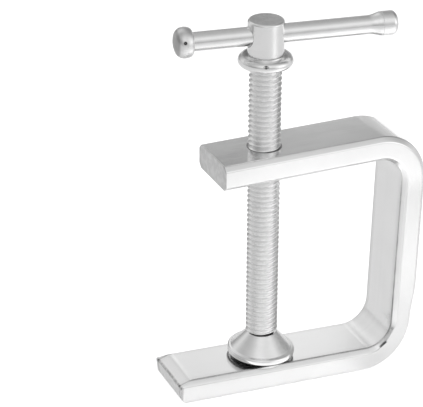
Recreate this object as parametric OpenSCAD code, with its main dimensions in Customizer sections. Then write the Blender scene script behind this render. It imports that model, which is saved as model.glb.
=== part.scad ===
// A small G-clamp: a frame bent from one flat bar, a screw with a sliding tommy bar, and a swivel pad.
// The origin is on the jaw, the lower arm's inner face, under the middle of the pad.
// +X points into the throat, towards the spine, and +Z stands square to the jaw.

/* [Frame bar] */
// Width of the flat bar that the frame is bent from
bar_width = 19; // [14:0.5:30]
// Thickness of the flat bar
bar_thickness = 7.7; // [6:0.1:12]
// Chamfer along the bar's four long edges
bar_edge = 1.4; // [0.5:0.1:2]
// Inside radius of the two bends
bend_radius = 8; // [3:0.5:16]
// Angle by which each bend is closed past square
over_bend = 1.5; // [0.25:0.25:3]

/* [Frame reach] */
// Opening between the two arms, along the screw
opening = 61.5; // [40:0.5:120]
// Depth of the throat, from the screw's axis to the spine at half the opening
throat = 40.6; // [30:0.1:80]
// Length of the upper arm past the screw's axis
upper_reach = 16.3; // [12:0.1:30]
// Length of the lower arm past the middle of the pad
lower_reach = 30.1; // [14:0.1:50]
// Length of the bevel on the lower arm's nose
nose_length = 3; // [1:0.5:8]
// Depth of the nose bevel at the tip
nose_depth = 1.3; // [0.5:0.1:3]
// How far the foot of the tip is set back from its top
nose_rake = 0.7; // [0.2:0.1:2]
// Chamfer under the tip of the nose
nose_chamfer = 1.9; // [0.4:0.1:2.5]

/* [Screw thread] */
// Outside diameter of the thread
thread_d = 9.525; // [8:0.005:14]
// Pitch of the thread
thread_pitch = 1.5875; // [1.25:0.0125:2.5]
// Depth of the thread
thread_depth = 0.95; // [0.5:0.05:1.3]
// Thread left between the upper arm and the collar when the pad is down
thread_spare = 25.2; // [10:0.1:60]
// Radial clearance of the thread in the upper arm
thread_clearance = 0.12; // [0.05:0.01:0.3]
// Countersink at both mouths of the hole in the upper arm
hole_countersink = 0.6; // [0.2:0.1:1]

/* [Swivel tip] */
// Diameter of the ball on the screw's tip
ball_d = 5; // [3.5:0.1:7]
// Diameter of the neck above the ball
neck_d = 4.8; // [3:0.1:6.5]
// Wire diameter of the retaining ring
ring_wire = 1.1; // [0.8:0.1:1.6]
// How deep the ring's groove is cut into the neck
groove_depth = 0.5; // [0.3:0.05:0.8]
// Land left on the neck between the ball and the ring's groove
groove_land = 0.05; // [0.02:0.01:0.5]
// Angle of the gap in the retaining ring
ring_gap = 40; // [20:5:90]
// Clearance between the tip, its ring and the pad
tip_clearance = 0.1; // [0.05:0.01:0.2]
// Gap between the pad and the end of the thread when the pad is fully rocked
shoulder_gap = 0.2; // [0.1:0.05:1]

/* [Swivel pad] */
// Diameter of the pad
pad_d = 20.2; // [16:0.1:30]
// Thickness of the pad's floor under the ball
pad_floor = 1; // [0.6:0.1:4]
// Thickness of the pad's lip over the retaining ring
pad_lip = 1.16; // [0.6:0.02:4]
// Height of the pad's rim
pad_rim = 2.1; // [1.4:0.1:3]
// Chamfer at both edges of the rim
rim_edge = 0.5; // [0.2:0.05:0.6]
// Diameter of the neck at the top of the pad
pad_neck_d = 8.8; // [7.4:0.1:14]
// Gap left between the pad and the jaw
pad_gap = 0.8; // [0.3:0.05:3]
// Angle that the pad can rock either way on the screw
rock = 7.2; // [3:0.1:10]

/* [Collar and head] */
// Height of the collar's rounded rim
collar_rim = 3.2; // [2:0.1:6]
// Depth of the dish that the head stands in
dish_depth = 0.6; // [0.2:0.1:1.2]
// Gap round the head's foot in the dish
dish_gap = 0.1; // [0.05:0.05:0.5]
// How far the collar's rim hangs below its seat on the screw
collar_drop = 0.2; // [0.1:0.05:0.4]
// Diameter of the head
head_d = 10.5; // [8:0.1:16]
// Metal between the spigot's socket and the tommy bar's hole
head_web = 0.65; // [0.4:0.05:4]
// Metal above the tommy bar's hole
head_crown = 1.75; // [1:0.05:6]
// Radius of the fillet at the foot of the head
foot_fillet = 1; // [0.4:0.1:2]
// Chamfer round the top of the head
head_edge = 0.4; // [0.1:0.1:1]
// Shoulder left round the screw's spigot, which carries the collar
spigot_step = 0.6; // [0.3:0.05:1.5]
// Length of the spigot inside the head
spigot_length = 2.8; // [1.5:0.1:6]
// Radial gap of a pressed fit
press_gap = 0.02; // [0.01:0.01:0.05]
// Room left beyond the end of a spigot or peg in its socket
socket_room = 0.2; // [0.1:0.05:0.5]

/* [Tommy bar] */
// Diameter of the tommy bar
tommy_d = 5.5; // [4:0.1:8]
// Radial clearance of the tommy bar in the head
tommy_clearance = 0.1; // [0.03:0.01:0.2]
// Length of the plain bar between its two stops
tommy_span = 52.1; // [40:0.1:90]
// How far the bar has been slid along from its middle
tommy_slide = 4.75; // [-12:0.05:12]
// Turn of the tommy bar from the throat's direction
tommy_turn = -9; // [-180:1:180]
// Countersink at both mouths of the hole in the head
tommy_countersink = 0.5; // [0.1:0.1:0.8]
// Length of the flare that stops the bar at its capped end
flare_length = 3; // [1.5:0.1:6]
// Shoulder left round the peg at each end of the bar
peg_step = 0.75; // [0.3:0.05:1.2]
// Length of the peg at each end of the bar
peg_length = 3; // [1.5:0.1:5]

/* [Knob and cap] */
// Largest diameter of the knob
knob_d = 8.9; // [7:0.1:14]
// How much the knob's side bulges, on the radius
knob_bulge = 0.75; // [0.1:0.05:1]
// Metal between the peg's socket and the knob's end, before its crown
knob_wall = 1.25; // [0.4:0.05:4]
// Height of the crown on the knob's end
knob_crown = 0.95; // [0.2:0.05:2]
// Step from the tommy bar's side out to the cap's side
cap_step = 0.8; // [0.3:0.05:2]
// Metal between the peg's socket and the top of the cap's dome
cap_wall = 1.75; // [0.6:0.05:4]
// Height of the dome on the cap's end
cap_dome = 1.2; // [0.5:0.1:2.5]
// How much wider the cap is than the flare, all round
cap_lip = 0.05; // [0.02:0.01:0.3]
// Diameter of the punch marks on the knob and the collar
punch_d = 1.2; // [0.5:0.1:1.6]

/* [Hidden] */
$fn = 96;
plated = [0.80, 0.80, 0.81];
turned = [0.72, 0.72, 0.74];
sprung = [0.45, 0.45, 0.47];
// The two over-bends add up to the slope of the upper arm and the lean of the screw
lean = 2 * over_bend;
bend_angle = 90 + over_bend;
bend_setback = bend_radius / tan((90 - over_bend) / 2);
// Height of the ball's centre in the pad and over the jaw, and where the screw's axis meets the jaw
ball_height = ball_d / 2 + tip_clearance + pad_floor;
ball_z = pad_gap + ball_height;
axis_foot = ball_z * tan(lean);
// Height and reach of the spine's inner face at half the opening, then the corner it makes with the jaw
mid_height = opening / 2 * cos(lean) + throat * sin(lean);
mid_reach = axis_foot - opening / 2 * sin(lean) + throat * cos(lean);
jaw_corner = mid_reach + mid_height * tan(over_bend);
lower_leg = lower_reach + jaw_corner - bend_setback;
spine_leg = (opening / 2 + mid_height) / cos(over_bend) - 2 * bend_setback;
upper_leg = throat + opening / 2 * tan(over_bend) - bend_setback + upper_reach;
past = 5;
// The retaining ring's groove, and the room that the rocking tip and ring need inside the pad
groove_r = neck_d / 2 - groove_depth;
ring_r = groove_r + tip_clearance + ring_wire / 2;
ring_reach = ring_r + ring_wire / 2;
neck_meet = sqrt(pow(ball_d / 2, 2) - pow(min(neck_d, ball_d) / 2, 2));
ring_height = neck_meet + groove_land + tip_clearance + ring_wire / 2;
ring_rise = ring_wire / 2 + ring_reach * sin(rock) + tip_clearance;
cavity_low = ring_height - ring_rise;
cavity_high = ring_height + ring_rise;
cavity_r = ring_reach + (ring_height + ring_wire / 2) * sin(rock) + 2 * tip_clearance;
pad_top = cavity_high + pad_lip;
pad_height = ball_height + pad_top;
mouth_low_r = neck_d / 2 + cavity_high * sin(rock) + tip_clearance;
mouth_top_r = neck_d / 2 + pad_top * sin(rock) + tip_clearance;
// Heights along the screw, from the ball's centre
neck_length = pad_top * cos(rock) + pad_neck_d / 2 * sin(rock) + shoulder_gap;
upper_face = opening - ball_z / cos(lean);
collar_base = upper_face + bar_thickness + thread_spare;
screw_shoulder = collar_base + collar_drop;
collar_seat = collar_rim - collar_drop - dish_depth;
head_base = screw_shoulder + collar_seat;
// The head round its two holes
tommy_hole_r = tommy_d / 2 + tommy_clearance;
spigot_socket = spigot_length + socket_room;
hole_height = spigot_socket + head_web + tommy_hole_r;
head_height = hole_height + tommy_hole_r + head_crown;
tommy_axis = head_base + hole_height;
// The screw's thread: whole ridges, with a plain land at each end
root_d = thread_d - 2 * thread_depth;
thread_length = screw_shoulder - neck_length;
ridges = floor(thread_length / thread_pitch) - 1;
end_land = (thread_length - ridges * thread_pitch) / 2;
crest_flat = thread_pitch / 8;
flank = (thread_pitch - 2 * crest_flat) / 2;
// The collar's rounded rim and the dish inside it
rim_r = collar_rim / 2;
dish_r = head_d / 2 + foot_fillet + dish_gap;
spigot_d = root_d - 2 * spigot_step;
// The stops at the ends of the tommy bar, and the arcs of the knob and the cap
knob_face = tommy_slide - tommy_span / 2;
flare_start = tommy_slide + tommy_span / 2;
flare_end = flare_start + flare_length;
peg_d = tommy_d - 2 * peg_step;
peg_socket = peg_length + socket_room;
knob_length = peg_socket + knob_wall;
barrel_r = (pow(knob_length / 2, 2) + pow(knob_bulge, 2)) / (2 * knob_bulge);
crown_r = (pow(knob_d / 2 - knob_bulge, 2) + pow(knob_crown, 2)) / (2 * knob_crown);
cap_r = tommy_d / 2 + cap_step;
cap_length = peg_socket + cap_wall;
dome_r = (pow(cap_r, 2) + pow(cap_dome, 2)) / (2 * cap_dome);
// Where the two punch marks face, and how far along the knob its mark is
punch_lift = 19;
punch_along = 0.65;
punch_turn = -114;
punch_tilt = 28;

// Places a piece on the screw's leaning axis, with its zero at the ball's centre
module on_screw() {
    translate([0, 0, ball_z])
        rotate([0, -lean, 0])
            children();
}

// Places a piece along the tommy bar, with its axis along Z
module on_tommy() {
    on_screw()
        translate([0, 0, tommy_axis])
            rotate([0, 0, tommy_turn])
                rotate([0, 90, 0])
                    children();
}

module bar_section() {
    half = bar_width / 2;
    polygon([
        [0, half - bar_edge],
        [0, bar_edge - half],
        [-bar_edge, -half],
        [bar_edge - bar_thickness, -half],
        [-bar_thickness, bar_edge - half],
        [-bar_thickness, half - bar_edge],
        [bar_edge - bar_thickness, half],
        [-bar_edge, half]
    ]);
}

module leg(length) {
    rotate([90, 0, 90])
        linear_extrude(length)
            bar_section();
}

module bend() {
    translate([0, bend_radius, 0])
        rotate(-90)
            rotate_extrude(angle = bend_angle)
                translate([bend_radius + bar_thickness, 0])
                    bar_section();
}

module after_bend() {
    translate([0, bend_radius, 0])
        rotate(bend_angle)
            translate([0, -bend_radius, 0])
                children();
}

module bent_bar() {
    translate([-lower_reach, 0, 0])
        leg(lower_leg);
    translate([lower_leg - lower_reach, 0, 0]) {
        bend();
        after_bend() {
            leg(spine_leg);
            translate([spine_leg, 0, 0]) {
                bend();
                after_bend()
                    leg(upper_leg);
            }
        }
    }
}

// What is cut away from the tip of the lower arm, seen from the side
module nose_cut() {
    translate([-lower_reach, 0, -bar_width / 2 - past])
        linear_extrude(bar_width + 2 * past)
            polygon([
                [nose_length + past * nose_length / nose_depth, past],
                [0, -nose_depth],
                [nose_rake, nose_chamfer - bar_thickness],
                [nose_rake + nose_chamfer, -bar_thickness],
                [nose_rake + nose_chamfer + past, -bar_thickness - past],
                [-past, -bar_thickness - past],
                [-past, past]
            ]);
}

module screw_hole() {
    hole_r = thread_d / 2 + thread_clearance;
    translate([0, 0, upper_face - past])
        cylinder(h = bar_thickness + 2 * past, r = hole_r);
    translate([0, 0, upper_face - past])
        cylinder(h = past + hole_countersink, r1 = hole_r + hole_countersink + past, r2 = hole_r);
    translate([0, 0, upper_face + bar_thickness - hole_countersink])
        cylinder(h = past + hole_countersink, r1 = hole_r, r2 = hole_r + hole_countersink + past);
}

module frame() {
    color(plated)
        difference() {
            rotate([90, 0, 0])
                difference() {
                    bent_bar();
                    nose_cut();
                }
            on_screw()
                screw_hole();
        }
}

module thread_profile() {
    first = neck_length + end_land;
    polygon(concat(
        [[0, neck_length], [root_d / 2, neck_length]],
        [for (i = [0 : ridges - 1], p = [
            [root_d / 2, crest_flat / 2],
            [thread_d / 2, crest_flat / 2 + flank],
            [thread_d / 2, crest_flat * 1.5 + flank],
            [root_d / 2, crest_flat * 1.5 + 2 * flank]
        ]) [p[0], first + i * thread_pitch + p[1]]],
        [[root_d / 2, screw_shoulder], [0, screw_shoulder]]
    ));
}

module spindle() {
    color(turned)
        on_screw()
            rotate_extrude()
                difference() {
                    union() {
                        thread_profile();
                        square([neck_d / 2, neck_length]);
                        translate([0, screw_shoulder])
                            square([spigot_d / 2, collar_seat + spigot_length]);
                        intersection() {
                            circle(d = ball_d);
                            translate([0, -ball_d])
                                square([ball_d, 2 * ball_d]);
                        }
                    }
                    translate([groove_r, ring_height - ring_wire / 2 - tip_clearance])
                        square([ball_d, ring_wire + 2 * tip_clearance]);
                }
}

module collar() {
    color(turned)
        on_screw()
            translate([0, 0, collar_base])
                difference() {
                    rotate_extrude()
                        difference() {
                            union() {
                                translate([dish_r, rim_r])
                                    circle(r = rim_r);
                                translate([spigot_d / 2 + press_gap, collar_drop])
                                    square([dish_r - spigot_d / 2 - press_gap, collar_seat]);
                            }
                            translate([0, collar_drop + collar_seat])
                                square([dish_r, collar_rim]);
                            square([spigot_d / 2 + press_gap, collar_rim]);
                            translate([0, -past])
                                square([dish_r - rim_r / 2, past + collar_drop]);
                        }
                    rotate([0, 0, punch_turn])
                        translate([dish_r, 0, rim_r])
                            rotate([0, 90 - punch_tilt, 0])
                                translate([0, 0, rim_r])
                                    sphere(d = punch_d);
                }
}

module spindle_head() {
    head_r = head_d / 2;
    color(turned)
        on_screw()
            translate([0, 0, head_base])
                difference() {
                    rotate_extrude() {
                        polygon([
                            [0, spigot_socket],
                            [spigot_d / 2 + press_gap, spigot_socket],
                            [spigot_d / 2 + press_gap, 0],
                            [head_r, 0],
                            [head_r, head_height - head_edge],
                            [head_r - head_edge, head_height],
                            [0, head_height]
                        ]);
                        difference() {
                            translate([head_r - foot_fillet / 2, 0])
                                square([foot_fillet * 1.5, foot_fillet]);
                            translate([head_r + foot_fillet, foot_fillet])
                                circle(r = foot_fillet);
                        }
                    }
                    translate([0, 0, hole_height])
                        rotate([0, 0, tommy_turn])
                            rotate([0, 90, 0]) {
                                cylinder(h = head_d + 2 * past, r = tommy_hole_r, center = true);
                                for (side = [0, 180])
                                    rotate([side, 0, 0])
                                        translate([0, 0, head_r - tommy_countersink])
                                            cylinder(h = past, r1 = tommy_hole_r, r2 = tommy_hole_r + past);
                            }
                }
}

module tommy_bar() {
    color(turned)
        on_tommy()
            rotate_extrude()
                polygon([
                    [0, knob_face - peg_length],
                    [peg_d / 2, knob_face - peg_length],
                    [peg_d / 2, knob_face],
                    [tommy_d / 2, knob_face],
                    [tommy_d / 2, flare_start],
                    [cap_r - cap_lip, flare_end],
                    [peg_d / 2, flare_end],
                    [peg_d / 2, flare_end + peg_length],
                    [0, flare_end + peg_length]
                ]);
}

module bar_knob() {
    color(turned)
        on_tommy()
            translate([0, 0, knob_face])
                rotate([180, 0, 0])
                    difference() {
                        rotate_extrude()
                            difference() {
                                intersection() {
                                    translate([knob_d / 2 - barrel_r, knob_length / 2])
                                        circle(r = barrel_r);
                                    translate([0, knob_length + knob_crown - crown_r])
                                        circle(r = crown_r);
                                    square([knob_d, knob_length + knob_crown]);
                                }
                                square([peg_d / 2 + press_gap, peg_socket]);
                            }
                        rotate([0, 0, punch_lift])
                            translate([0, knob_d / 2, punch_along * knob_length])
                                rotate([90, 0, 0])
                                    sphere(d = punch_d);
                    }
}

module bar_cap() {
    color(turned)
        on_tommy()
            translate([0, 0, flare_end])
                rotate_extrude()
                    difference() {
                        intersection() {
                            translate([0, cap_length - dome_r])
                                circle(r = dome_r);
                            square([cap_r, cap_length]);
                        }
                        square([peg_d / 2 + press_gap, peg_socket]);
                    }
}

module pad_ring() {
    color(sprung)
        on_screw()
            translate([0, 0, ring_height])
                rotate([0, 0, ring_gap / 2])
                    rotate_extrude(angle = 360 - ring_gap)
                        translate([ring_r, 0])
                            circle(d = ring_wire);
}

module swivel_pad() {
    pad_r = pad_d / 2;
    color(plated)
        translate([0, 0, ball_z])
            rotate_extrude()
                difference() {
                    translate([0, -ball_height])
                        polygon([
                            [0, 0],
                            [pad_r - rim_edge, 0],
                            [pad_r, rim_edge],
                            [pad_r, pad_rim - rim_edge],
                            [pad_r - rim_edge, pad_rim],
                            [pad_neck_d / 2, pad_height],
                            [0, pad_height]
                        ]);
                    circle(r = ball_d / 2 + tip_clearance);
                    translate([0, cavity_low])
                        square([cavity_r, cavity_high - cavity_low]);
                    polygon([
                        [0, cavity_high - tip_clearance],
                        [mouth_low_r, cavity_high - tip_clearance],
                        [mouth_top_r, pad_top],
                        [mouth_top_r, pad_top + past],
                        [0, pad_top + past]
                    ]);
                }
}

frame();
spindle();
collar();
spindle_head();
tommy_bar();
bar_knob();
bar_cap();
pad_ring();
swivel_pad();
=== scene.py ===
# %% [markdown]
# # A small G-clamp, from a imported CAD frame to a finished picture
#
# The clamp is one flat bar bent into a C, a screw with a sliding handle, and a swivel pad.
# The CAD model gives the size and the place of every piece, and it is loaded here as a frame
# that never changes. On top of it each piece is modelled again with round edges, because
# bright plated steel shows every facet of a CAD mesh.

# %% Load the CAD frame
from math import acos, atan2, cos, degrees, pi, radians, sin, sqrt

import bmesh
import bpy
from mathutils import Matrix, Vector


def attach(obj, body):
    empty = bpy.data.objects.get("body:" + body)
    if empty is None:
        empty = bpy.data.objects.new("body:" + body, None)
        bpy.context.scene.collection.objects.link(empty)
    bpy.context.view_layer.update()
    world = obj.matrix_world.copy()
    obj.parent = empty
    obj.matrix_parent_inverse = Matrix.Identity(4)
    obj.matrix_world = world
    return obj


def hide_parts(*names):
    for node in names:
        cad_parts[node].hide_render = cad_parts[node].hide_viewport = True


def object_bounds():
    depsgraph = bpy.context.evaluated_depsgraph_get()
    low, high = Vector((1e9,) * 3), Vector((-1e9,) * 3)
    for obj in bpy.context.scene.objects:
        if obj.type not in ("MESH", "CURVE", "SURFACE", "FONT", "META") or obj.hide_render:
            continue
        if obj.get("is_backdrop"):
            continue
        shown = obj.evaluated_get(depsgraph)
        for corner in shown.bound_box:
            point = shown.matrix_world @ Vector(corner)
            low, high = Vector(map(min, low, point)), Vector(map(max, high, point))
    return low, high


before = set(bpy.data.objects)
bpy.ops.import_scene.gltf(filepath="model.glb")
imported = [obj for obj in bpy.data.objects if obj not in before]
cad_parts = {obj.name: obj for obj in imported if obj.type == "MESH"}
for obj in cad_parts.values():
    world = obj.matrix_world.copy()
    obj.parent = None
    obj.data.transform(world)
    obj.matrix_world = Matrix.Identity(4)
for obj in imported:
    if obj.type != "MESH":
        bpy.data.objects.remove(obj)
cad_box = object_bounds()
print("CAD pieces:", ", ".join(sorted(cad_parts)))

# %% [markdown]
# ## The camera
#
# Blender measures in metres, and a clamp is easier to think of in millimetres, so one small
# function turns one into the other.
#
# The photograph was taken from the left, from above, with a long lens: the bar's edges hardly
# draw together. Its place was worked out from the straight edges of the bar and the turns of
# the thread, so the camera is simply put there, and the focal length follows from the same
# measurement.

# %% Camera
MM = 0.001
CAMERA_PLACE = -237.947, -464.729, 300.49
CAMERA_TURN = 64.2383, -2.8883, -23.8261
LENS, SENSOR = 168.79, 36


def mm(*values):
    """A place or a step given in millimetres."""
    return Vector(values) * MM


bpy.ops.object.camera_add(
    location=mm(*CAMERA_PLACE), rotation=[radians(angle) for angle in CAMERA_TURN]
)
camera = bpy.context.object
camera.data.lens = LENS
camera.data.sensor_width = SENSOR
bpy.context.scene.camera = camera
print("camera at", [round(c, 3) for c in camera.location], "lens", camera.data.lens)

# %% [markdown]
# ## Picking in edit mode
#
# An operator works on whatever is selected. By hand that takes a click, and in a script it
# takes a test on the place or the normal of each vertex, edge or face. So the first tool clears
# the selection and picks what passes a test, and the second gives the middle of an edge or a
# face to test. The third opens a new primitive for editing.

# %% Picking tools


def pick(test, kind="VERT"):
    """Selects in edit mode only what passes the test, which gets a vertex, an edge or a face."""
    bpy.ops.mesh.select_mode(type=kind)
    bpy.ops.mesh.select_all(action="DESELECT")
    data = bpy.context.edit_object.data
    mesh = bmesh.from_edit_mesh(data)
    parts = {"VERT": mesh.verts, "EDGE": mesh.edges, "FACE": mesh.faces}[kind]
    for part in parts:
        part.select_set(bool(test(part)))
    mesh.select_flush_mode()
    bmesh.update_edit_mesh(data)


def middle(part):
    """The middle of an edge or a face, in millimetres."""
    points = [v.co for v in part.verts]
    return sum(points, Vector()) / len(points) / MM


def open_new(name):
    """Names the primitive that was just added, applies its place and opens it for editing."""
    piece = bpy.context.object
    piece.name = piece.data.name = name
    bpy.ops.object.transform_apply(location=True, rotation=True, scale=True)
    bpy.ops.object.mode_set(mode="EDIT")
    bpy.ops.mesh.select_all(action="SELECT")
    return piece


# %% [markdown]
# ## The bar of the frame
#
# The real frame is a flat bar with chamfered edges that goes round two bends, each closed a
# little past square. A curve with a bevel could make it, but then the ends and the chamfers are
# hard to shape. So the end of the bar is drawn as one face, its corners are cut and softened,
# and that face is extruded along each straight leg and spun round each bend.

# %% Section, lower arm and nose
BAR_WIDTH, BAR_THICK, BAR_EDGE = 19.0, 7.7, 1.4
EDGE_SOFT = 0.32
LOWER_REACH, LOWER_LEG = 30.1, 61.914
NOSE_LENGTH, NOSE_DEPTH, NOSE_RAKE, NOSE_CHAMFER = 3.6, 1.4, 0.7, 1.9

bpy.ops.object.select_all(action="DESELECT")
bpy.ops.mesh.primitive_plane_add(
    size=1, location=mm(-LOWER_REACH, 0, -BAR_THICK / 2), rotation=(0, -pi / 2, 0)
)
bpy.ops.transform.resize(value=(1, BAR_WIDTH * MM, BAR_THICK * MM))
bent_bar = open_new("bent_bar")
bpy.ops.mesh.bevel(offset=BAR_EDGE * MM, segments=1, affect="VERTICES")
bpy.ops.mesh.select_all(action="SELECT")
bpy.ops.mesh.bevel(offset=EDGE_SOFT * MM, segments=3, affect="VERTICES")
bpy.ops.mesh.select_all(action="SELECT")
bpy.ops.mesh.extrude_region_move(TRANSFORM_OT_translate={"value": mm(LOWER_LEG, 0, 0)})

# Three flat cuts shape the nose: the bevel on top, the raked end and the chamfer below
nose_cuts = [
    ((-LOWER_REACH, -NOSE_DEPTH), (-NOSE_DEPTH, NOSE_LENGTH)),
    ((-LOWER_REACH, -NOSE_DEPTH), (NOSE_DEPTH + NOSE_CHAMFER - BAR_THICK, -NOSE_RAKE)),
    ((-LOWER_REACH + NOSE_RAKE, NOSE_CHAMFER - BAR_THICK), (-1, -1)),
]
for (x, z), (normal_x, normal_z) in nose_cuts:
    bpy.ops.mesh.select_all(action="SELECT")
    bpy.ops.mesh.bisect(
        plane_co=mm(x, 0, z),
        plane_no=Vector((normal_x, 0, normal_z)).normalized(),
        use_fill=True,
        clear_outer=True,
    )
print("lower arm drawn,", LOWER_LEG, "mm long, with", len(nose_cuts), "cuts at its nose")

# %% [markdown]
# The cuts leave knife-sharp edges at the nose, and plated steel never has those.
# A Bevel modifier would round every edge alike. On the real nose the bevel on top begins softly
# and the edges of the tip are crisper, so the two are picked and rounded one after the other.

# %% Soft edges on the nose
NOSE_SOFT, BEVEL_SOFT = 0.35, 1.4
NOSE_CORNER, CUT_LEAN, CLEAR_OF_BEVEL = 20, 0.3, 0.6
LINE_X, LINE_Z = 0.05, 0.02


def nose_edge(edge):
    """Edges round the faces that the cuts left, apart from the line where the bevel begins."""
    sides = [f.normal.copy() for f in edge.link_faces]
    if len(sides) != 2:
        return False
    at_nose = middle(edge).x < -LOWER_REACH + NOSE_LENGTH - CLEAR_OF_BEVEL
    is_corner = sides[0].angle(sides[1], 0) > radians(NOSE_CORNER)
    return at_nose and is_corner and max(abs(n.x) for n in sides) > CUT_LEAN


def bevel_start(edge):
    """The line across the top where the bevel begins."""
    place = middle(edge)
    return abs(place.x + LOWER_REACH - NOSE_LENGTH) < LINE_X and abs(place.z) < LINE_Z


pick(bevel_start, "EDGE")
bpy.ops.mesh.bevel(offset=BEVEL_SOFT * MM, segments=5, affect="EDGES")
pick(nose_edge, "EDGE")
bpy.ops.mesh.bevel(offset=NOSE_SOFT * MM, segments=3, affect="EDGES", clamp_overlap=True)
print("nose softened by", BEVEL_SOFT, "mm on top and", NOSE_SOFT, "mm at its tip")

# %% [markdown]
# Now the bar goes round the corners. The end face stays selected after each extrude and each
# spin, so every step simply carries on from the one before it. The foot of the spine is extruded
# in short steps, because the next cell needs some rings there to move.

# %% Sweep round both bends
BEND_RADIUS, BEND_ANGLE, BEND_STEPS = 8.0, 91.5, 28
OVER_BEND, LEAN = 1.5, 3.0
SPINE_LEG, UPPER_LEG = 47.176, 49.494
DRAWN_LENGTH, DRAWN_RINGS = 12.0, 8
SLACK = 0.02
lower_centre = Vector((LOWER_LEG - LOWER_REACH, 0, BEND_RADIUS))
up_spine = Vector((-sin(radians(OVER_BEND)), 0, cos(radians(OVER_BEND))))
into_spine = Vector((-cos(radians(OVER_BEND)), 0, -sin(radians(OVER_BEND))))
spine_foot = lower_centre - into_spine * BEND_RADIUS
upper_centre = spine_foot + up_spine * SPINE_LEG + into_spine * BEND_RADIUS
along_upper = Vector((-cos(radians(LEAN)), 0, -sin(radians(LEAN))))


def bend_round(centre):
    """Spins the selected end face round one bend."""
    bpy.ops.mesh.spin(
        steps=BEND_STEPS, angle=radians(BEND_ANGLE), center=centre * MM, axis=(0, 1, 0)
    )


def run_on(direction, length):
    """Extrudes the selected end face straight on."""
    bpy.ops.mesh.extrude_region_move(TRANSFORM_OT_translate={"value": direction * length * MM})


pick(lambda f: middle(f).x > LOWER_LEG - LOWER_REACH - SLACK, "FACE")
bend_round(lower_centre)
for _ in range(DRAWN_RINGS):
    run_on(up_spine, DRAWN_LENGTH / DRAWN_RINGS)
run_on(up_spine, SPINE_LEG - DRAWN_LENGTH)
bend_round(upper_centre)
run_on(along_upper, UPPER_LEG)
print("bar swept round two bends of", BEND_ANGLE, "degrees")

# %% [markdown]
# Bending has drawn the outside of the lower corner thin. Proportional editing could pull it in,
# but how far that reaches is hard to steer. Here each ring of the bend is picked by its place
# and its outer side is pushed in, a little more from ring to ring, and less again up the spine.

# %% Draw the lower corner thin
THIN_MOST = 1.06
HALF_THICK, HALF_ROOM = BAR_THICK / 2, 0.1
OUTER_FROM, RING_REACH = 0.5, 15
bend_rings = [(i / BEND_STEPS * BEND_ANGLE, 0) for i in range(1, BEND_STEPS + 1)]
leg_rings = [(BEND_ANGLE, i * DRAWN_LENGTH / DRAWN_RINGS) for i in range(1, DRAWN_RINGS)]


def ease(share):
    """Goes smoothly from 0 to 1."""
    share = min(max(share, 0), 1)
    return share * share * (3 - 2 * share)


def push_in(degrees_round, climb, depth, side):
    """Pushes one side of a ring in. The side's test gets how far out a point is, and its step."""
    around = radians(degrees_round)
    outward = Vector((sin(around), 0, -cos(around)))
    forward = Vector((cos(around), 0, sin(around)))
    centre = lower_centre + outward * (BEND_RADIUS + HALF_THICK) + up_spine * climb

    def on_side(v):
        step = v.co / MM - centre
        return abs(step.dot(forward)) < SLACK and side(step.dot(outward), step)

    pick(on_side)
    bpy.ops.transform.translate(value=-outward * depth * MM)


def outer_side(out, step):
    return OUTER_FROM < out < HALF_THICK + HALF_ROOM and abs(step.z) < RING_REACH


for degrees_round, climb in bend_rings + leg_rings:
    share = ease(degrees_round / BEND_ANGLE) * (1 - ease(climb / DRAWN_LENGTH))
    push_in(degrees_round, climb, THIN_MOST * share, outer_side)
print("outside of the lower bend drawn in by", THIN_MOST, "mm at most")

# %% [markdown]
# On the inside of the same corner the front chamfer was crushed when the bar was bent, so it
# gets narrower on its way round. The points on its outer edge are pushed in with the same tool,
# most of all half way along the crushed part.

# %% Crush the front chamfer in the corner
CRUSH_MOST, CRUSH_START, INNER_TO = 0.8, 22, -1


def chamfer_edge(out, step):
    return -HALF_THICK - HALF_ROOM < out < INNER_TO and step.y < EDGE_SOFT - BAR_WIDTH / 2


for degrees_round, climb in bend_rings:
    along = max(degrees_round - CRUSH_START, 0) / (BEND_ANGLE - CRUSH_START)
    push_in(degrees_round, climb, CRUSH_MOST * sin(pi * along), chamfer_edge)
print("front chamfer crushed by", CRUSH_MOST, "mm at most")

# %% [markdown]
# ## Lathe tools
#
# Most of the other pieces are round, and a lathe makes those from one profile. Here the profile
# is drawn point by point, a third number at a point rounds that corner, and Spin carries the
# line round Z. A Screw modifier could do the same, but Spin works in edit mode, so one function
# draws, turns and cleans a piece before it is laid in its place.

# %% Drawing and turning
SAME_PLACE, DOUBLES = 1e-6, 1e-7
CORNER_STEPS = 5


def lay(piece, matrix):
    """Puts a piece that was made on the bench where it belongs."""
    piece.matrix_world = matrix
    bpy.ops.object.transform_apply(location=True, rotation=True, scale=True)


def close_up(piece, matrix=None):
    """Merges doubles, turns the faces outwards and leaves edit mode."""
    bpy.ops.mesh.select_all(action="SELECT")
    bpy.ops.mesh.remove_doubles(threshold=DOUBLES)
    bpy.ops.mesh.normals_make_consistent(inside=False)
    bpy.ops.object.mode_set(mode="OBJECT")
    if matrix is not None:
        lay(piece, matrix)
    return piece


def near(point):
    """A test for the vertex at a point of a profile."""
    place = mm(point[0], 0, point[1])
    return lambda v: (v.co - place).length < SAME_PLACE


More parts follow.
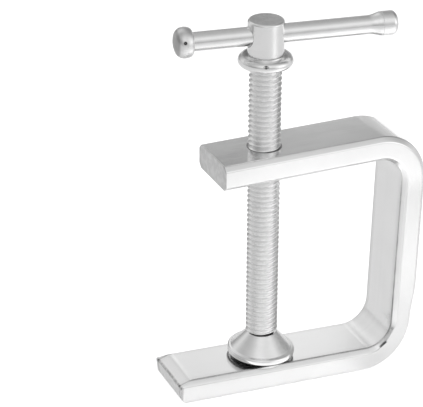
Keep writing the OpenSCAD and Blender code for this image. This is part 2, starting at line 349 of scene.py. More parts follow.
def draw(name, points, closed=False):
    """Draws a line of points in the XZ plane. A third number at a point rounds that corner."""
    bpy.ops.object.select_all(action="DESELECT")
    bpy.ops.mesh.primitive_plane_add(size=MM)
    piece = open_new(name)
    bpy.ops.mesh.merge(type="CENTER")
    places = [mm(p[0], 0, p[1]) for p in points]
    bpy.ops.transform.translate(value=places[0])
    for here, there in zip(places, places[1:]):
        bpy.ops.mesh.extrude_vertices_move(TRANSFORM_OT_translate={"value": there - here})
    if closed:
        first, last = near(points[0]), near(points[-1])
        pick(lambda v: first(v) or last(v))
        bpy.ops.mesh.edge_face_add()
    for corner in points:
        if len(corner) > 2:
            pick(near(corner))
            bpy.ops.mesh.bevel(offset=corner[2] * MM, segments=CORNER_STEPS, affect="VERTICES")
    return piece


def turn(name, points, matrix=None, closed=False, steps=96):
    """Spins a drawn profile round Z into a solid of revolution."""
    piece = draw(name, points, closed)
    bpy.ops.mesh.select_all(action="SELECT")
    bpy.ops.mesh.spin(steps=steps, angle=2 * pi, center=(0, 0, 0), axis=(0, 0, 1))
    return close_up(piece, matrix)


# %% [markdown]
# A finished piece needs three more things. A Boolean joins a tool to it or takes it away. Smooth
# shading with weighted normals keeps flat faces flat, so that only the round edges catch the
# light. Last, the CAD node that the piece stands for is hidden, and the piece is hung on the body
# it moves with.

# %% Cutting and mounting
SHARP_ANGLE, FACE_WEIGHT = 32, 80


def take(piece):
    """Makes a piece the active one and the only one selected."""
    bpy.ops.object.select_all(action="DESELECT")
    bpy.context.view_layer.objects.active = piece
    piece.select_set(True)


def cut(piece, tool, operation="DIFFERENCE"):
    """Joins a tool to a piece or takes it away, and puts the tool away."""
    take(piece)
    step = piece.modifiers.new("cut", "BOOLEAN")
    step.operation, step.solver, step.object = operation, "EXACT", tool
    bpy.ops.object.modifier_apply(modifier="cut")
    bpy.data.objects.remove(tool)


def polish(piece):
    """Smooth shading that keeps flat faces flat and leaves real edges sharp."""
    take(piece)
    bpy.ops.object.shade_smooth_by_angle(angle=radians(SHARP_ANGLE))
    weigh = piece.modifiers.new("weigh", "WEIGHTED_NORMAL")
    weigh.keep_sharp = True
    weigh.weight = FACE_WEIGHT
    bpy.ops.object.modifier_apply(modifier="weigh")


def mount(piece, body, node):
    """Makes a piece stand for its CAD node and move with that node's body."""
    polish(piece)
    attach(piece, body)
    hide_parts(node)
    print(f"{piece.name}: {len(piece.data.polygons)} faces, stands for {node}")


# %% [markdown]
# The upper arm's end is sawn square, so only its edges are broken. The screw's hole is cut with
# a turned tool that has the hole's own countersinks, which is one Boolean instead of three.

# %% End of the upper arm and the hole
BALL_HEIGHT = 4.4
UPPER_FACE, UPPER_END, END_SOFT = 57.094, -16.3, 0.3
HOLE_R, HOLE_SINK, HOLE_SOFT, HOLE_SPARE = 4.8825, 0.6, 0.15, 5
on_screw = Matrix.Translation(mm(0, 0, BALL_HEIGHT)) @ Matrix.Rotation(-radians(LEAN), 4, "Y")

upper_end = max(
    (f for f in bmesh.from_edit_mesh(bent_bar.data).faces if middle(f).z > UPPER_FACE / 2),
    key=lambda f: middle(f).dot(along_upper),
)
end_middle = middle(upper_end)


def on_end(vertex):
    return abs((vertex.co / MM - end_middle).dot(along_upper)) < SLACK


pick(lambda e: all(on_end(v) for v in e.verts), "EDGE")
bpy.ops.mesh.bevel(offset=END_SOFT * MM, segments=3, affect="EDGES")
close_up(bent_bar)

low, high = UPPER_FACE, UPPER_FACE + BAR_THICK
hole_tool = turn(
    "hole_tool",
    [
        (0, low - HOLE_SPARE),
        (HOLE_R + HOLE_SINK + HOLE_SPARE, low - HOLE_SPARE),
        (HOLE_R, low + HOLE_SINK, HOLE_SOFT),
        (HOLE_R, high - HOLE_SINK, HOLE_SOFT),
        (HOLE_R + HOLE_SINK + HOLE_SPARE, high + HOLE_SPARE),
        (0, high + HOLE_SPARE),
    ],
    on_screw,
)
cut(bent_bar, hole_tool)
mount(bent_bar, "frame", "frame")

# %% [markdown]
# ## The screw
#
# A rolled thread is a ridge that climbs one pitch for each turn. The profile of one pitch is
# drawn as a line, and the Screw modifier winds it up the axis, so this thread really is a helix
# and not a stack of rings. It is wound a few turns too long, and two bisections trim its ends.

# %% Thread
THREAD_R, THREAD_DEPTH, PITCH = 4.7625, 0.95, 1.5875
THREAD_LOW, THREAD_HIGH = 4.322, 90.194
CREST_AT, CREST_TURN = 85.214, -205.0
ROOT_SOFT, CREST_SOFT = 0.08, 0.09
SPARE_TURNS, TURN_STEPS = 2, 40
ROOT_R = THREAD_R - THREAD_DEPTH
crest, flank = PITCH / 8, PITCH * 3 / 8

ridge = [
    (ROOT_R, 0),
    (ROOT_R, crest / 2, ROOT_SOFT),
    (THREAD_R, crest / 2 + flank, CREST_SOFT),
    (THREAD_R, crest * 1.5 + flank, CREST_SOFT),
    (ROOT_R, crest * 1.5 + 2 * flank, ROOT_SOFT),
    (ROOT_R, PITCH),
]
screw = draw("screw", ridge)
turns = int((THREAD_HIGH - THREAD_LOW) / PITCH) + 2 * SPARE_TURNS
phase = (CREST_AT - PITCH / 2 - CREST_TURN / 360 * PITCH - THREAD_LOW) % PITCH
bpy.ops.mesh.select_all(action="SELECT")
bpy.ops.transform.translate(value=mm(0, 0, THREAD_LOW + phase - SPARE_TURNS * PITCH))
bpy.ops.object.mode_set(mode="OBJECT")
wind = screw.modifiers.new("wind", "SCREW")
wind.screw_offset = PITCH * MM
wind.iterations = turns
wind.steps = wind.render_steps = TURN_STEPS
bpy.ops.object.modifier_apply(modifier="wind")
bpy.ops.object.mode_set(mode="EDIT")
bpy.ops.mesh.select_all(action="SELECT")
bpy.ops.mesh.remove_doubles(threshold=DOUBLES)
for height, side in ((THREAD_LOW, -1), (THREAD_HIGH, 1)):
    bpy.ops.mesh.select_all(action="SELECT")
    bpy.ops.mesh.bisect(
        plane_co=mm(0, 0, height), plane_no=(0, 0, side), use_fill=True, clear_outer=True
    )
close_up(screw)
print("thread wound:", turns, "turns,", len(screw.data.polygons), "faces")

# %% [markdown]
# The screw ends in a ball with a groove for the snap ring, and at the top in a spigot for the
# head. Both are turned, reach a little way into the thread, and are joined on by a union.

# %% Ball tip and spigot
BALL_R, BALL_END = 2.5, 16
NECK_R, NECK_SOFT, GROOVE_R = 2.4, 0.05, 1.9
GROOVE_LOW, GROOVE_HIGH = 0.75, 2.05
SPIGOT_R, SPIGOT_TOP, SPIGOT_SOFT = 3.2125, 95.394, 0.3
BURIED = 2.0


def arc(centre, radius, start, end, count=10):
    """Points on an arc in millimetres, from one angle in degrees to another."""
    angles = [radians(start + (end - start) * i / count) for i in range(count + 1)]
    return [(centre[0] + radius * cos(a), centre[1] + radius * sin(a)) for a in angles]


tip = turn(
    "tip",
    arc((0, 0), BALL_R, -90, BALL_END, 12)
    + [
        (NECK_R, GROOVE_LOW),
        (GROOVE_R, GROOVE_LOW),
        (GROOVE_R, GROOVE_HIGH),
        (NECK_R, GROOVE_HIGH, NECK_SOFT),
        (NECK_R, THREAD_LOW + BURIED),
        (0, THREAD_LOW + BURIED),
    ],
    steps=64,
)
spigot = turn(
    "spigot",
    [
        (0, THREAD_HIGH - BURIED),
        (SPIGOT_R, THREAD_HIGH - BURIED),
        (SPIGOT_R, SPIGOT_TOP, SPIGOT_SOFT),
        (0, SPIGOT_TOP),
    ],
    steps=64,
)
cut(screw, tip, "UNION")
cut(screw, spigot, "UNION")
lay(screw, on_screw)
mount(screw, "screw", "spindle")

# %% [markdown]
# ## Collar and head
#
# The collar is a ring with a fat round bead and a shallow dish. A torus would give the bead
# only, so the ring is turned from one closed profile. A punch has left a small slot in the bead,
# which is cut with a little ball that is stretched along it.

# %% Collar
COLLAR_BASE = 89.994
BEAD_R, BEAD_FROM, BEAD_TO = 1.6, -118, 88
DISH_R, DISH_LOW, DISH_TOP = 6.35, 0.2, 2.6
BEAD_SOFT, DISH_SOFT = 0.12, 0.05
FIT = 0.02
BORE_R = SPIGOT_R + FIT
PIT_R, PIT_DEEP = 0.36, 1.25
COLLAR_PIT_TURN, COLLAR_PIT_TILT, COLLAR_PIT_STRETCH = -114, 28, 2.4
on_collar = on_screw @ Matrix.Translation(mm(0, 0, COLLAR_BASE))

collar = turn(
    "collar_ring",
    [(BORE_R, DISH_LOW), (DISH_R - BEAD_R / 2, DISH_LOW)]
    + arc((DISH_R, BEAD_R), BEAD_R, BEAD_FROM, BEAD_TO, 28)
    + [(DISH_R, 2 * BEAD_R, BEAD_SOFT), (DISH_R, DISH_TOP, DISH_SOFT), (BORE_R, DISH_TOP)],
    on_collar,
    closed=True,
)


def punch(place, piece, stretch=1.0):
    """Cuts a small pit, round or stretched along its own Y."""
    bpy.ops.object.select_all(action="DESELECT")
    bpy.ops.mesh.primitive_uv_sphere_add(segments=24, ring_count=12, radius=PIT_R * MM)
    ball = open_new("ball")
    bpy.ops.transform.resize(value=(1, stretch, PIT_DEEP))
    close_up(ball, place)
    cut(piece, ball)


pit_place = (
    on_collar
    @ Matrix.Rotation(radians(COLLAR_PIT_TURN), 4, "Z")
    @ Matrix.Translation(mm(DISH_R, 0, BEAD_R))
    @ Matrix.Rotation(radians(90 - COLLAR_PIT_TILT), 4, "Y")
    @ Matrix.Translation(mm(0, 0, BEAD_R))
)
collar_pit = (on_screw.inverted() @ pit_place).to_translation()
punch(pit_place, collar, COLLAR_PIT_STRETCH)
mount(collar, "screw", "collar")

# %% [markdown]
# The head stands in the collar's dish on a small fillet. Its cross hole has flared lips where
# its edges were broken, so the tool that cuts it is turned with a flare at both ends
# and laid along the handle's axis.

# %% Head
HEAD_BASE, HEAD_HIGH, HEAD_R = 92.594, 11.1, 5.25
FOOT_FILLET, HEAD_EDGE, HEAD_SOFT = 1.0, 0.4, 0.2
HOLE_HIGH, CROSS_R, CROSS_SINK = 6.5, 2.85, 0.5
LIP_SOFT, FLARE = 0.25, 4.0
SOCKET_DEEP = 3.0
TOMMY_TURN = -9
on_head = on_screw @ Matrix.Translation(mm(0, 0, HEAD_BASE))
on_tommy = (
    on_head
    @ Matrix.Translation(mm(0, 0, HOLE_HIGH))
    @ Matrix.Rotation(radians(TOMMY_TURN), 4, "Z")
    @ Matrix.Rotation(pi / 2, 4, "Y")
)

head = turn(
    "cross_head",
    [(0, SOCKET_DEEP), (BORE_R, SOCKET_DEEP), (BORE_R, 0)]
    + arc((HEAD_R + FOOT_FILLET, FOOT_FILLET), FOOT_FILLET, -90, -180)
    + [
        (HEAD_R, HEAD_HIGH - HEAD_EDGE, HEAD_SOFT),
        (HEAD_R - HEAD_EDGE, HEAD_HIGH, HEAD_SOFT),
        (0, HEAD_HIGH),
    ],
    on_head,
    steps=128,
)
lip = HEAD_R - CROSS_SINK
cross_tool = turn(
    "cross_tool",
    [
        (0, -lip - FLARE),
        (CROSS_R + FLARE, -lip - FLARE),
        (CROSS_R, -lip, LIP_SOFT),
        (CROSS_R, lip, LIP_SOFT),
        (CROSS_R + FLARE, lip + FLARE),
        (0, lip + FLARE),
    ],
    on_tommy,
)
cut(head, cross_tool)
mount(head, "screw", "spindle_head")

# %% [markdown]
# ## The sliding handle
#
# The handle is a drawn rod with a barrel knob on one end and a rounded cap on the other.
# Under the cap the rod swells, and the joint between them shows as a fine seam.
# All three are turned on the rod's own axis and then laid through the head.

# %% Handle rod
ROD_R, PEG_R, PEG_LONG = 2.75, 2.0, 3.0
KNOB_FACE, FLARE_END = -21.3, 33.8
SWELL_START, SWELL_END = 31.2, 33.1
SWELL_SOFT, FLARE_SOFT = 1.2, 0.6
FLARE_R, SEAM = 3.5, 0.14
rod = turn(
    "handle_rod",
    [
        (0, KNOB_FACE - PEG_LONG),
        (PEG_R, KNOB_FACE - PEG_LONG),
        (PEG_R, KNOB_FACE),
        (ROD_R, KNOB_FACE),
        (ROD_R, SWELL_START, SWELL_SOFT),
        (FLARE_R, SWELL_END, FLARE_SOFT),
        (FLARE_R, FLARE_END, SEAM),
        (PEG_R, FLARE_END),
        (PEG_R, FLARE_END + PEG_LONG),
        (0, FLARE_END + PEG_LONG),
    ],
    on_tommy,
)
mount(rod, "bar", "tommy_bar")

# %% [markdown]
# The knob's side is bulged and its end is crowned. Both are arcs whose radius follows from their
# length and their height, and a rounded corner joins them, so the light runs round the knob
# without a break. It has a punch pit too.

# %% Knob
KNOB_R, KNOB_BULGE, KNOB_LONG, KNOB_CROWN = 4.45, 0.75, 4.45, 0.95
FACE_ROUND, CROWN_ROUND = 0.65, 0.75
KNOB_PIT_LIFT, KNOB_PIT_ALONG = 19, 0.65
SOCKET_R, PEG_SOCKET = PEG_R + FIT, PEG_LONG + 0.2
barrel_r = ((KNOB_LONG / 2) ** 2 + KNOB_BULGE**2) / (2 * KNOB_BULGE)
barrel_half = degrees(acos((barrel_r - KNOB_BULGE) / barrel_r))
crown_r = ((KNOB_R - KNOB_BULGE) ** 2 + KNOB_CROWN**2) / (2 * KNOB_CROWN)
crown_half = degrees(atan2(KNOB_R - KNOB_BULGE, crown_r - KNOB_CROWN))
on_knob = on_tommy @ Matrix.Translation(mm(0, 0, KNOB_FACE)) @ Matrix.Rotation(pi, 4, "X")

barrel = arc((KNOB_R - barrel_r, KNOB_LONG / 2), barrel_r, -barrel_half, barrel_half)
crown = arc((0, KNOB_LONG + KNOB_CROWN - crown_r), crown_r, 90 - crown_half, 90, 8)
knob = turn(
    "handle_knob",
    [(0, PEG_SOCKET), (SOCKET_R, PEG_SOCKET), (SOCKET_R, 0)]
    + [(*barrel[0], FACE_ROUND)]
    + barrel[2:-2]
    + [(*barrel[-1], CROWN_ROUND)]
    + crown[2:],
    on_knob,
)
pit_place = (
    on_knob
    @ Matrix.Rotation(radians(KNOB_PIT_LIFT), 4, "Z")
    @ Matrix.Translation(mm(0, KNOB_R, KNOB_PIT_ALONG * KNOB_LONG))
    @ Matrix.Rotation(pi / 2, 4, "X")
)
knob_pit = (on_knob.inverted() @ pit_place).to_translation()
punch(pit_place, knob)
mount(knob, "bar", "bar_knob")

# %% [markdown]
# The cap is as wide as the swollen end of the rod. Both have a small round at the seam,
# and the two rounds together make the fine dark groove that shows where they meet.

# %% Cap
CAP_R, CAP_LONG, CAP_DOME, DOME_ROUND = 3.55, 4.95, 1.05, 0.9
dome_r = (CAP_R**2 + CAP_DOME**2) / (2 * CAP_DOME)
dome_half = degrees(atan2(CAP_R, dome_r - CAP_DOME))
on_cap = on_tommy @ Matrix.Translation(mm(0, 0, FLARE_END))
dome = arc((0, CAP_LONG - dome_r), dome_r, 90 - dome_half, 90)
cap = turn(
    "handle_cap",
    [(0, PEG_SOCKET), (SOCKET_R, PEG_SOCKET), (SOCKET_R, 0), (CAP_R, 0, SEAM)]
    + [(*dome[0], DOME_ROUND)]
    + dome[3:],
    on_cap,
)
mount(cap, "bar", "bar_cap")

# %% [markdown]
# ## The swivel pad
#
# The pad is a flat foot with a bulged rim, a crease, and a cone up to its neck. Inside it are a
# socket for the ball and room for the snap ring. Booleans could hollow it out, but all of that
# fits in one profile, so the mouth round the screw is open as on the real pad.

# %% Pad
PAD_R, PAD_RIM, PAD_HIGH, PAD_NECK_R = 10.1, 2.1, 7.199, 4.4
RIM_ROUND, RIM_TOP_ROUND = 0.8, 0.7
CREASE_IN, CREASE_ROUND = 1.0, 0.2
NECK_ROUND, MOUTH_ROUND = 0.3, 0.2
PAD_FLOOR_TO_BALL = 3.6
BALL_SEAT_R, ROOM_LOW, ROOM_HIGH, ROOM_R = 2.6, 0.3615, 2.4385, 3.5444
MOUTH_LOW_R, MOUTH_TOP_R = 2.8056, 2.951
on_ball = Matrix.Translation(mm(0, 0, BALL_HEIGHT))
foot, top = -PAD_FLOOR_TO_BALL, PAD_HIGH - PAD_FLOOR_TO_BALL
seat_end = degrees(atan2(ROOM_LOW, sqrt(BALL_SEAT_R**2 - ROOM_LOW**2)))

pad = turn(
    "pressure_pad",
    [
        (0, foot),
        (PAD_R, foot, RIM_ROUND),
        (PAD_R, foot + PAD_RIM, RIM_TOP_ROUND),
        (PAD_R - CREASE_IN, foot + PAD_RIM, CREASE_ROUND),
        (PAD_NECK_R, top, NECK_ROUND),
        (MOUTH_TOP_R, top, MOUTH_ROUND),
        (MOUTH_LOW_R, ROOM_HIGH),
        (ROOM_R, ROOM_HIGH),
        (ROOM_R, ROOM_LOW),
    ]
    + arc((0, 0), BALL_SEAT_R, seat_end, -90, 12),
    on_ball,
    steps=128,
)
mount(pad, "pad", "swivel_pad")

# %% [markdown]
# ## Finishes
#
# The whole clamp is bright plated steel. What differs from piece to piece is how the steel under
# the plating was made: the bar and the thread were rolled, the head, collar, knob and pad were
# turned, and the rod was drawn. Shader maths is easier to read as a sum than as a row of nodes,
# so a small class lets Python's own signs make the nodes.

# %% Signals


class Signal:
    """A node's output that can be added, multiplied and compared like a number."""

    def __init__(self, bench, socket):
        self.bench, self.socket = bench, socket

    def math(self, operation, first, second=0.0):
        return self.bench.node("ShaderNodeMath", {"operation": operation}, {0: first, 1: second})

    def __add__(self, other):
        return self.math("ADD", self, other)

    def __sub__(self, other):
        return self.math("SUBTRACT", self, other)

    def __rsub__(self, other):
        return self.math("SUBTRACT", other, self)

    def __mul__(self, other):
        return self.math("MULTIPLY", self, other)

    def __pow__(self, other):
        return self.math("POWER", self, other)

    def __abs__(self):
        return self.math("ABSOLUTE", self)

    __radd__, __rmul__ = __add__, __mul__

    def most(self, other):
        return self.math("MAXIMUM", self, other)

    def step(self, start, end):
        """Goes smoothly from 0 at start to 1 at end."""
        settings = {"interpolation_type": "SMOOTHSTEP"}
        sockets = {"Value": self, "From Min": start, "From Max": end}
        return self.bench.node("ShaderNodeMapRange", settings, sockets)

    def past(self, start, end):
        """The same step for a place or a distance, with its ends in millimetres."""
        return self.step(start * MM, end * MM)

    def close_to(self, place, inner, outer):
        """1 up to the inner distance from a place, and 0 from the outer one on, in millimetres."""
        return 1 - abs(self - place * MM).past(inner, outer)

    def part(self, name):
        """Another output of the same node."""
        return Signal(self.bench, self.socket.node.outputs[name])

    def axes(self):
        """The three numbers of a vector."""
        split = self.bench.node("ShaderNodeSeparateXYZ", {}, {0: self})
        return split, split.part("Y"), split.part("Z")


def span(one, other):
    """The straight distance over two steps at a right angle."""
    return (one * one + other * other) ** 0.5


# %% [markdown]
# A signal needs a node tree to add its nodes to. The bench holds one, and a single method of it
# makes every node: the settings are set first, and then each socket gets a number or a link.

# %% Bench for nodes


class Bench:
    """A node tree, and the one method that adds a node to it."""

    def __init__(self, tree):
        self.tree = tree
        tree.nodes.clear()

    def node(self, kind, settings=None, sockets=None):
        made = self.tree.nodes.new(kind)
        for name, value in (settings or {}).items():
            setattr(made, name, value)
        for name, value in (sockets or {}).items():
            if isinstance(value, Signal):
                self.tree.links.new(value.socket, made.inputs[name])
            else:
                made.inputs[name].default_value = value
        return Signal(self, made.outputs[0]) if made.outputs else made

    def vector(self, x, y, z):
        return self.node("ShaderNodeCombineXYZ", {}, {0: x, 1: y, 2: z})

    def noise(self, where, scale, detail=3.0):
        """Cloudy noise from 0 to 1, at so many clouds to the metre."""
        sockets = {"Vector": where, "Scale": scale, "Detail": detail}
        return self.node("ShaderNodeTexNoise", {}, sockets)


# %% [markdown]
# Every finish begins with the same plating and differs in its grain. The coordinates are the
# object's own, turned by a Mapping node so that Z runs along the screw or the rod where a piece
# was made on a lathe. Only brightness, roughness and a fine relief change over the surface.

# %% Plating


class Plating(Bench):
    """One finish of plated steel: a bench with the surface's place, and a way to close it."""

    def __init__(self, name, matrix=None):
        self.material = bpy.data.materials.new(name)
        self.material.use_nodes = True
        super().__init__(self.material.node_tree)
        self.place = self.node("ShaderNodeTexCoord").part("Object")
        if matrix is not None:
            self.place = self.seen_from(matrix)

    def seen_from(self, matrix):
        """The place as measured from another piece's own axis."""
        move, twist = matrix.to_translation(), matrix.to_euler()
        sockets = {"Vector": self.place, "Location": move, "Rotation": twist}
        return self.node("ShaderNodeMapping", {"vector_type": "TEXTURE"}, sockets)

    def spot(self, centre, inner, outer):
        """1 round a place, and 0 from the outer distance on, in millimetres."""
        settings, sockets = {"operation": "DISTANCE"}, {0: self.place, 1: centre}
        away = self.node("ShaderNodeVectorMath", settings, sockets).part("Value")
        return 1 - away.past(inner, outer)

    def finish(self, grey, rough, height, depth):
        """Closes the finish with its brightness, its roughness and a relief in millimetres."""
        tone = self.node("ShaderNodeCombineColor", {}, {0: grey, 1: grey, 2: grey})
        relief = self.node("ShaderNodeBump", {}, {"Height": height, "Distance": depth * MM})
        sockets = {"Base Color": tone, "Metallic": 1.0, "Roughness": rough, "Normal": relief}
        shader = self.node("ShaderNodeBsdfPrincipled", {}, sockets)
        self.node("ShaderNodeOutputMaterial", {}, {"Surface": shader})
        return self.material


def dress(piece, material):
    """Gives a piece its finish."""
    piece.data.materials.clear()
    piece.data.materials.append(material)


# %% [markdown]
# The bar has streaks along its length from the rolls. Its edges carry dark lines of painted shade,
# for the dark band that a round edge reflects. The nose is darker along its tip and at its front
# corner, the crushed corner has a painted shade line in its crease, the sawn ends are duller and
# partly painted darker, and the hole for the screw has painted shade round it. Painted maps could
# show all that, but each mark follows from a place on the bar, so each is a step on the distance
# from that place, and no picture is needed.

# %% Rolled bar
BRIGHT, DARKEST = 0.9, 0.04
INNER_LINE, FRONT_LINE = BAR_WIDTH / 2 - BAR_EDGE, BAR_WIDTH / 2
CREASE_SHADE_TURN, CREASE_SHADE_R = radians(37.5), 8.75
ALONG_BAR = 0.02


def rolled_bar():
    """Rolled bar: streaks and cloudy plating, with painted shade along the edges, in the crushed
    corner, round the screw and on the sawn ends, and a darker nose tip.
    """
    bar = Plating("plated_bar")
    x, y, z = bar.place.axes()
    streak = bar.noise(bar.vector(x * ALONG_BAR, y, z * ALONG_BAR), 1800.0)
    cloud = bar.noise(bar.place, 70.0)
    peel = bar.noise(bar.place, 240.0, 2.0)
    patchy = bar.noise(bar.place, 160.0, 2.0).step(0.3, 0.6)
    speck = bar.noise(bar.place, 700.0, 2.0).step(0.35, 0.6)

    # Painted shade: dark lines along the edges, strong on the inside of the C, most of all on the
    # spine, and faint above it
    side = abs(y)
    inside = 1 - z.past(50, 60) * 0.9
    upright = z.past(2, 8)
    edge_line_shade = side.close_to(INNER_LINE, 0.05, 0.42) * (0.5 + patchy * 0.5) * (0.7 + upright * 0.3)
    shade = side.close_to(INNER_LINE, 0.2, 2.4) * (0.1 + upright * 0.2)
    line = (edge_line_shade + shade + side.close_to(FRONT_LINE, 0.02, 0.25) * 0.35) * inside

    # The nose is darker along its tip, in specks, and at its front corner, and dull where it was
    # sawn
    from_tip, below_tip = x + LOWER_REACH * MM, z + NOSE_DEPTH * MM
    tip = 1 - span(from_tip, below_tip).past(0.25, 0.8)
    corner = (1 - from_tip.past(0.6, 1.0)) * side.close_to(FRONT_LINE, 0.1, 0.5)
    dark_tip = (tip * (0.4 + speck * 0.6)).most(corner * 0.35)
    sawn_nose = (1 - from_tip.past(0.9, 1.3)) * (1 - below_tip.past(-0.2, 0.1))

    # Painted shade: a dark crease line across the front chamfer in the crushed corner
    from_x, from_z = x - lower_centre.x * MM, z - lower_centre.z * MM
    out = from_x * sin(CREASE_SHADE_TURN) - from_z * cos(CREASE_SHADE_TURN)
    along = from_x * cos(CREASE_SHADE_TURN) + from_z * sin(CREASE_SHADE_TURN)
    crease_shade = out.close_to(CREASE_SHADE_R, 0.15, 0.5) * along.close_to(0, 0.9, 1.7)
    crease_shade = crease_shade * y.close_to(-FRONT_LINE, 0.3, 0.7)

    # The upper arm has a sawn end too, and painted shade in the hole's countersink round the screw
    on_x, on_y, on_z = bar.seen_from(on_screw).axes()
    upper_arm = on_z.past(40, 45)
    sawn_top = (1 - on_x.past(UPPER_END + 0.15, UPPER_END + 0.35)) * upper_arm
    hole_shade = (1 - span(on_x, on_y).past(5.0, 5.35)) * upper_arm
    # The sawn ends are rougher, and their darker colour is partly painted shade for the dim side
    # of the room that the upper end faces
    sawn = sawn_top + sawn_nose * 0.4

    grey = BRIGHT + (cloud - 0.5) * 0.1 + (streak - 0.5) * 0.08 - line * 0.42 - dark_tip * 0.5
    grey = grey - sawn * (0.16 + speck * 0.08) - hole_shade * 0.55 - crease_shade * 0.7
    rough = 0.18 + (cloud - 0.5) * 0.06 + (streak - 0.5) * 0.08
    rough = rough + line * 0.15 + sawn * 0.25 + hole_shade * 0.3
    relief = peel * 0.8 + streak * 0.2 + sawn * speck * 0.8
    return bar.finish(grey.most(DARKEST), rough, relief, 0.02)


dress(bent_bar, rolled_bar())
print("bar finished with", len(bent_bar.data.materials[0].node_tree.nodes), "nodes")

# %% [markdown]
# The thread is darker in its roots and brighter at its crests, so its brightness goes with the
# distance from the screw's axis. Scuffs run round it, because the frame's hole rubs it that way.

# %% Rolled thread


def rolled_thread():
    """Rolled thread: bright crests, duller roots, fine scuffs round the screw."""
    thread = Plating("plated_screw", on_screw)
    x, y, z = thread.place.axes()
    crest_share = span(x, y).past(ROOT_R, THREAD_R)
    scuff = thread.noise(thread.vector(x * 0.2, y * 0.2, z), 2600.0)
    cloud = thread.noise(thread.place, 300.0)
    grey = 0.86 + crest_share * 0.06 + (cloud - 0.5) * 0.08 + (scuff - 0.5) * 0.06
    rough = 0.3 - crest_share * 0.06 + (scuff - 0.5) * 0.1
    return thread.finish(grey, rough, scuff * 0.5 + cloud, 0.03)


dress(screw, rolled_thread())
print("screw finished with", len(screw.data.materials[0].node_tree.nodes), "nodes")

# %% [markdown]
# A lathe leaves fine rings, which are noise that changes only with the radius and the height.
# Four pieces share this finish. The painted shade in the punch pits, the wear and the sawn end of
# the knob, and the painted shade round the head's foot and under the pad's rim are options of it.

# %% Turned steel
TOOL_RINGS = 5200.0
PIT_DARKEST = 0.05


def turned_steel(name, matrix, pit=None, worn=0.0, shade_ring=None, sawn=None):
    """Turned steel: rings from the tool, with painted shade in a pit, wear, a ring of painted
    shade and a sawn end.
    """
    turned = Plating(name, matrix)
    x, y, z = turned.place.axes()
    radius = span(x, y)
    ring = turned.noise(turned.vector(radius, z, 0.0), TOOL_RINGS)
    cloud = turned.noise(turned.place, 260.0)
    grey = BRIGHT - 0.02 - worn * 0.08
    grey = grey + (cloud - 0.5) * (0.12 + worn * 0.4) + (ring - 0.5) * 0.08
    if sawn is not None:
        grey = grey - z.past(sawn - 0.5, sawn + 0.1) * 0.3
    if pit is not None:
        # Painted shade: dark inside the punch pit
        grey = (grey - turned.spot(pit, 0.35, 0.65) * 0.72).most(PIT_DARKEST)
    # Painted shade round the head's foot in the collar's dish and under the pad's rim
    if shade_ring is not None:
        ring_r, ring_z, reach, dark = shade_ring
        away = span(radius - ring_r * MM, z - ring_z * MM)
        grey = (grey - (1 - away.past(reach / 3, reach)) * dark).most(DARKEST)
    rough = 0.2 + worn * 0.14 + (cloud - 0.5) * 0.1 + (ring - 0.5) * 0.1
    return turned.finish(grey, rough, ring * 0.5 + cloud, 0.03)


# Each ring of painted shade has its radius, its height, its reach in millimetres and how dark it
# is
dish_shade = (HEAD_R + 0.9, COLLAR_BASE + DISH_TOP, 1.5, 0.22)
foot_shade = (PAD_R - RIM_ROUND / 4, RIM_ROUND / 4 - PAD_FLOOR_TO_BALL, 0.5, 0.8)
head_steel = turned_steel("plated_turned", on_screw, pit=collar_pit, shade_ring=dish_shade)
dress(collar, head_steel)
dress(head, head_steel)
dress(knob, turned_steel("plated_knob", on_knob, pit=knob_pit, worn=1.0, sawn=KNOB_LONG))
dress(pad, turned_steel("plated_pad", on_ball, shade_ring=foot_shade))
print("collar, head, knob and pad finished")

# %% [markdown]
# The rod was pulled through a die, which leaves streaks along it. The noise is stretched along
# the rod's axis for that. The snap ring keeps its CAD shape, since the pad hides it, and gets
# the darker look of oiled spring wire.

# %% Drawn rod and spring wire


def drawn_rod():
    """Drawn rod: streaks along its length and cloudy plating."""
    drawn = Plating("plated_rod", on_tommy)
    x, y, z = drawn.place.axes()
    streak = drawn.noise(drawn.vector(x, y, z * 0.03), 1500.0)
    cloud = drawn.noise(drawn.place, 240.0)
    grey = BRIGHT - 0.02 + (cloud - 0.5) * 0.1 + (streak - 0.5) * 0.06
    rough = 0.22 + (cloud - 0.5) * 0.1 + (streak - 0.5) * 0.1
    return drawn.finish(grey, rough, streak * 0.3 + cloud, 0.03)


def spring_wire():
    """Oiled spring steel, darker than the plating."""
    wire = Plating("spring_wire")
    cloud = wire.noise(wire.place, 900.0)
    return wire.finish(0.38 + (cloud - 0.5) * 0.2, 0.3 + (cloud - 0.5) * 0.2, cloud, 0.02)


rod_steel = drawn_rod()
dress(rod, rod_steel)
dress(cap, rod_steel)
wire_steel = spring_wire()
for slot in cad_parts["pad_ring"].material_slots:
    slot.material = wire_steel
print("finishes:", ", ".join(sorted(m.name for m in bpy.data.materials if m.users)))

# %% [markdown]
# ## Studio
#
# The clamp stands on white paper. The paper is lit like everything else, so it keeps the clamp's
# soft shadow, and it also glows for the camera, and less for rays that metal reflects, so that
# it reads as white.

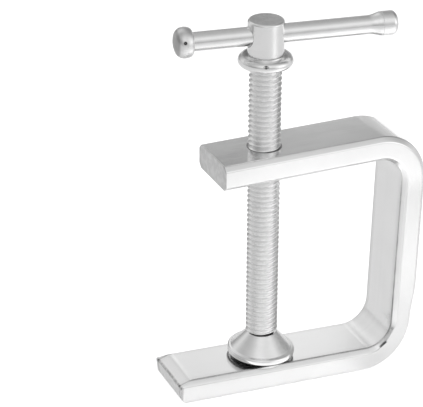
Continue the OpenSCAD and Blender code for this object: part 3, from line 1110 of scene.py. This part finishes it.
# %% Paper floor
FLOOR_WIDE, FLOOR_DROP = 8, 0.1 * MM
PAPER_SEEN, PAPER_IN_METAL = 0.65, 0.15
floor_height = cad_box[0][2]
bpy.ops.object.select_all(action="DESELECT")
bpy.ops.mesh.primitive_plane_add(size=FLOOR_WIDE, location=(0, 0, floor_height - FLOOR_DROP))
floor = bpy.context.object
floor.name = "floor"
floor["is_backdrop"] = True
floor_paper = bpy.data.materials.new("floor_paper")
floor_paper.use_nodes = True
bench = Bench(floor_paper.node_tree)
ray = bench.node("ShaderNodeLightPath")
reflected = ray.part("Is Glossy Ray").most(ray.part("Is Transmission Ray"))
strength = ray.part("Is Camera Ray") * PAPER_SEEN + reflected * PAPER_IN_METAL
glow = bench.node("ShaderNodeEmission", {}, {"Color": (1, 1, 1, 1), "Strength": strength})
paper = bench.node("ShaderNodeBsdfDiffuse", {}, {"Color": (0.9, 0.9, 0.9, 1)})
both = bench.node("ShaderNodeAddShader", {}, {0: paper, 1: glow})
bench.node("ShaderNodeOutputMaterial", {}, {"Surface": both})
dress(floor, floor_paper)
print("paper floor at", round(floor_height, 4))

# %% [markdown]
# Bright plating shows the whole room. An even sky would make it look like grey plastic, and
# lamps alone would show in it as patches with hard edges, so the room is drawn in the world as
# wide soft glows that fade into each other.

# %% Glows of the room
# Each glow has its direction as azimuth and elevation in degrees, its tightness and its strength
ROOM_LIGHT = 0.199
glows = [
    (135, 8, 9, 0.4),
    (121, 23, 20, 0.21),
    (82, 37, 40, 0.14),
    (2, 3, 15, 0.5),
    (315, 8, 9, 1.05),
    (180, 38, 8, 0.267),
    (240, 38, 8, 0.758),
    (300, 38, 8, 0.474),
    (100, 48, 12, 0.546),
    (0, 88, 8, 0.279),
]
world = bpy.data.worlds.new("studio")
bpy.context.scene.world = world
world.use_nodes = True
sky = Bench(world.node_tree)
toward = sky.node("ShaderNodeTexCoord").part("Generated")
light = ROOM_LIGHT
for azimuth, elevation, tight, strength in glows:
    a, e = radians(azimuth), radians(elevation)
    aim = Vector((cos(e) * cos(a), cos(e) * sin(a), sin(e)))
    settings, sockets = {"operation": "DOT_PRODUCT"}, {0: toward, 1: aim}
    facing = sky.node("ShaderNodeVectorMath", settings, sockets).part("Value")
    light = facing.math("EXPONENT", (facing - 1) * tight) * strength + light
room = sky.node("ShaderNodeBackground", {}, {"Color": light})
sky.node("ShaderNodeOutputWorld", {}, {"Surface": room})
print("room:", len(glows), "glows over an even light of", ROOM_LIGHT)

# %% [markdown]
# The lamps are soft boxes: a wide one behind the clamp in three parts, and a weaker one at the
# back right. Five more only light the paper in front, which the upright faces of the bar and
# the head show as white, so metal doesn't reflect those five lamps themselves.

# %% Soft boxes
# Each has its place, what it points at, its width and height in millimetres, and its brightness
soft_boxes = {
    "behind_low": ((170, 230, 51), (170, 0, 51), 300, 118, 0.45),
    "behind_left": ((92.5, 230, 145), (92.5, 0, 145), 145, 70, 0.53),
    "behind_right": ((242.5, 230, 145), (242.5, 0, 145), 155, 70, 0.27),
    "back_right": ((300, 300, 250), (5, 0, 40), 300, 300, 0.13),
    "paper_near": ((-3, -15.5, -3.5), (-3, -15.5, -7), 68, 10, 0.58),
    "paper_middle": ((15, -58, 70), (15, -58, 0), 170, 60, 0.6),
    "paper_front": ((80, -140, 120), (80, -140, 0), 170, 110, 0.85),
    "paper_right": ((92, -76, 55), (92, -76, 0), 100, 70, 1.6),
    "paper_far": ((150, -250, 30), (150, -250, 0), 110, 70, 0.9),
}
for name, (place, target, wide, high, bright) in soft_boxes.items():
    aim = mm(*target) - mm(*place)
    bpy.ops.object.light_add(
        type="AREA", location=mm(*place), rotation=aim.to_track_quat("-Z", "Y").to_euler()
    )
    box = bpy.context.object
    box.name, box.visible_camera = name, False
    box.visible_glossy = not name.startswith("paper")
    box.data.shape = "RECTANGLE"
    box.data.size, box.data.size_y = wide * MM, high * MM
    box.data.energy = bright * pi * box.data.size * box.data.size_y
bpy.context.scene.view_settings.view_transform = "Standard"
print("soft boxes:", ", ".join(soft_boxes))

# %% [markdown]
# ## Sizes
#
# The box round all the pieces is measured once more, and both boxes are written down, so that
# a piece that grew past the CAD model would show at once.

# %% Sizes
seen_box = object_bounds()
for name, corners in (("CAD", cad_box), ("visual", seen_box)):
    print(name, "box", [[round(x, 4) for x in c] for c in corners])
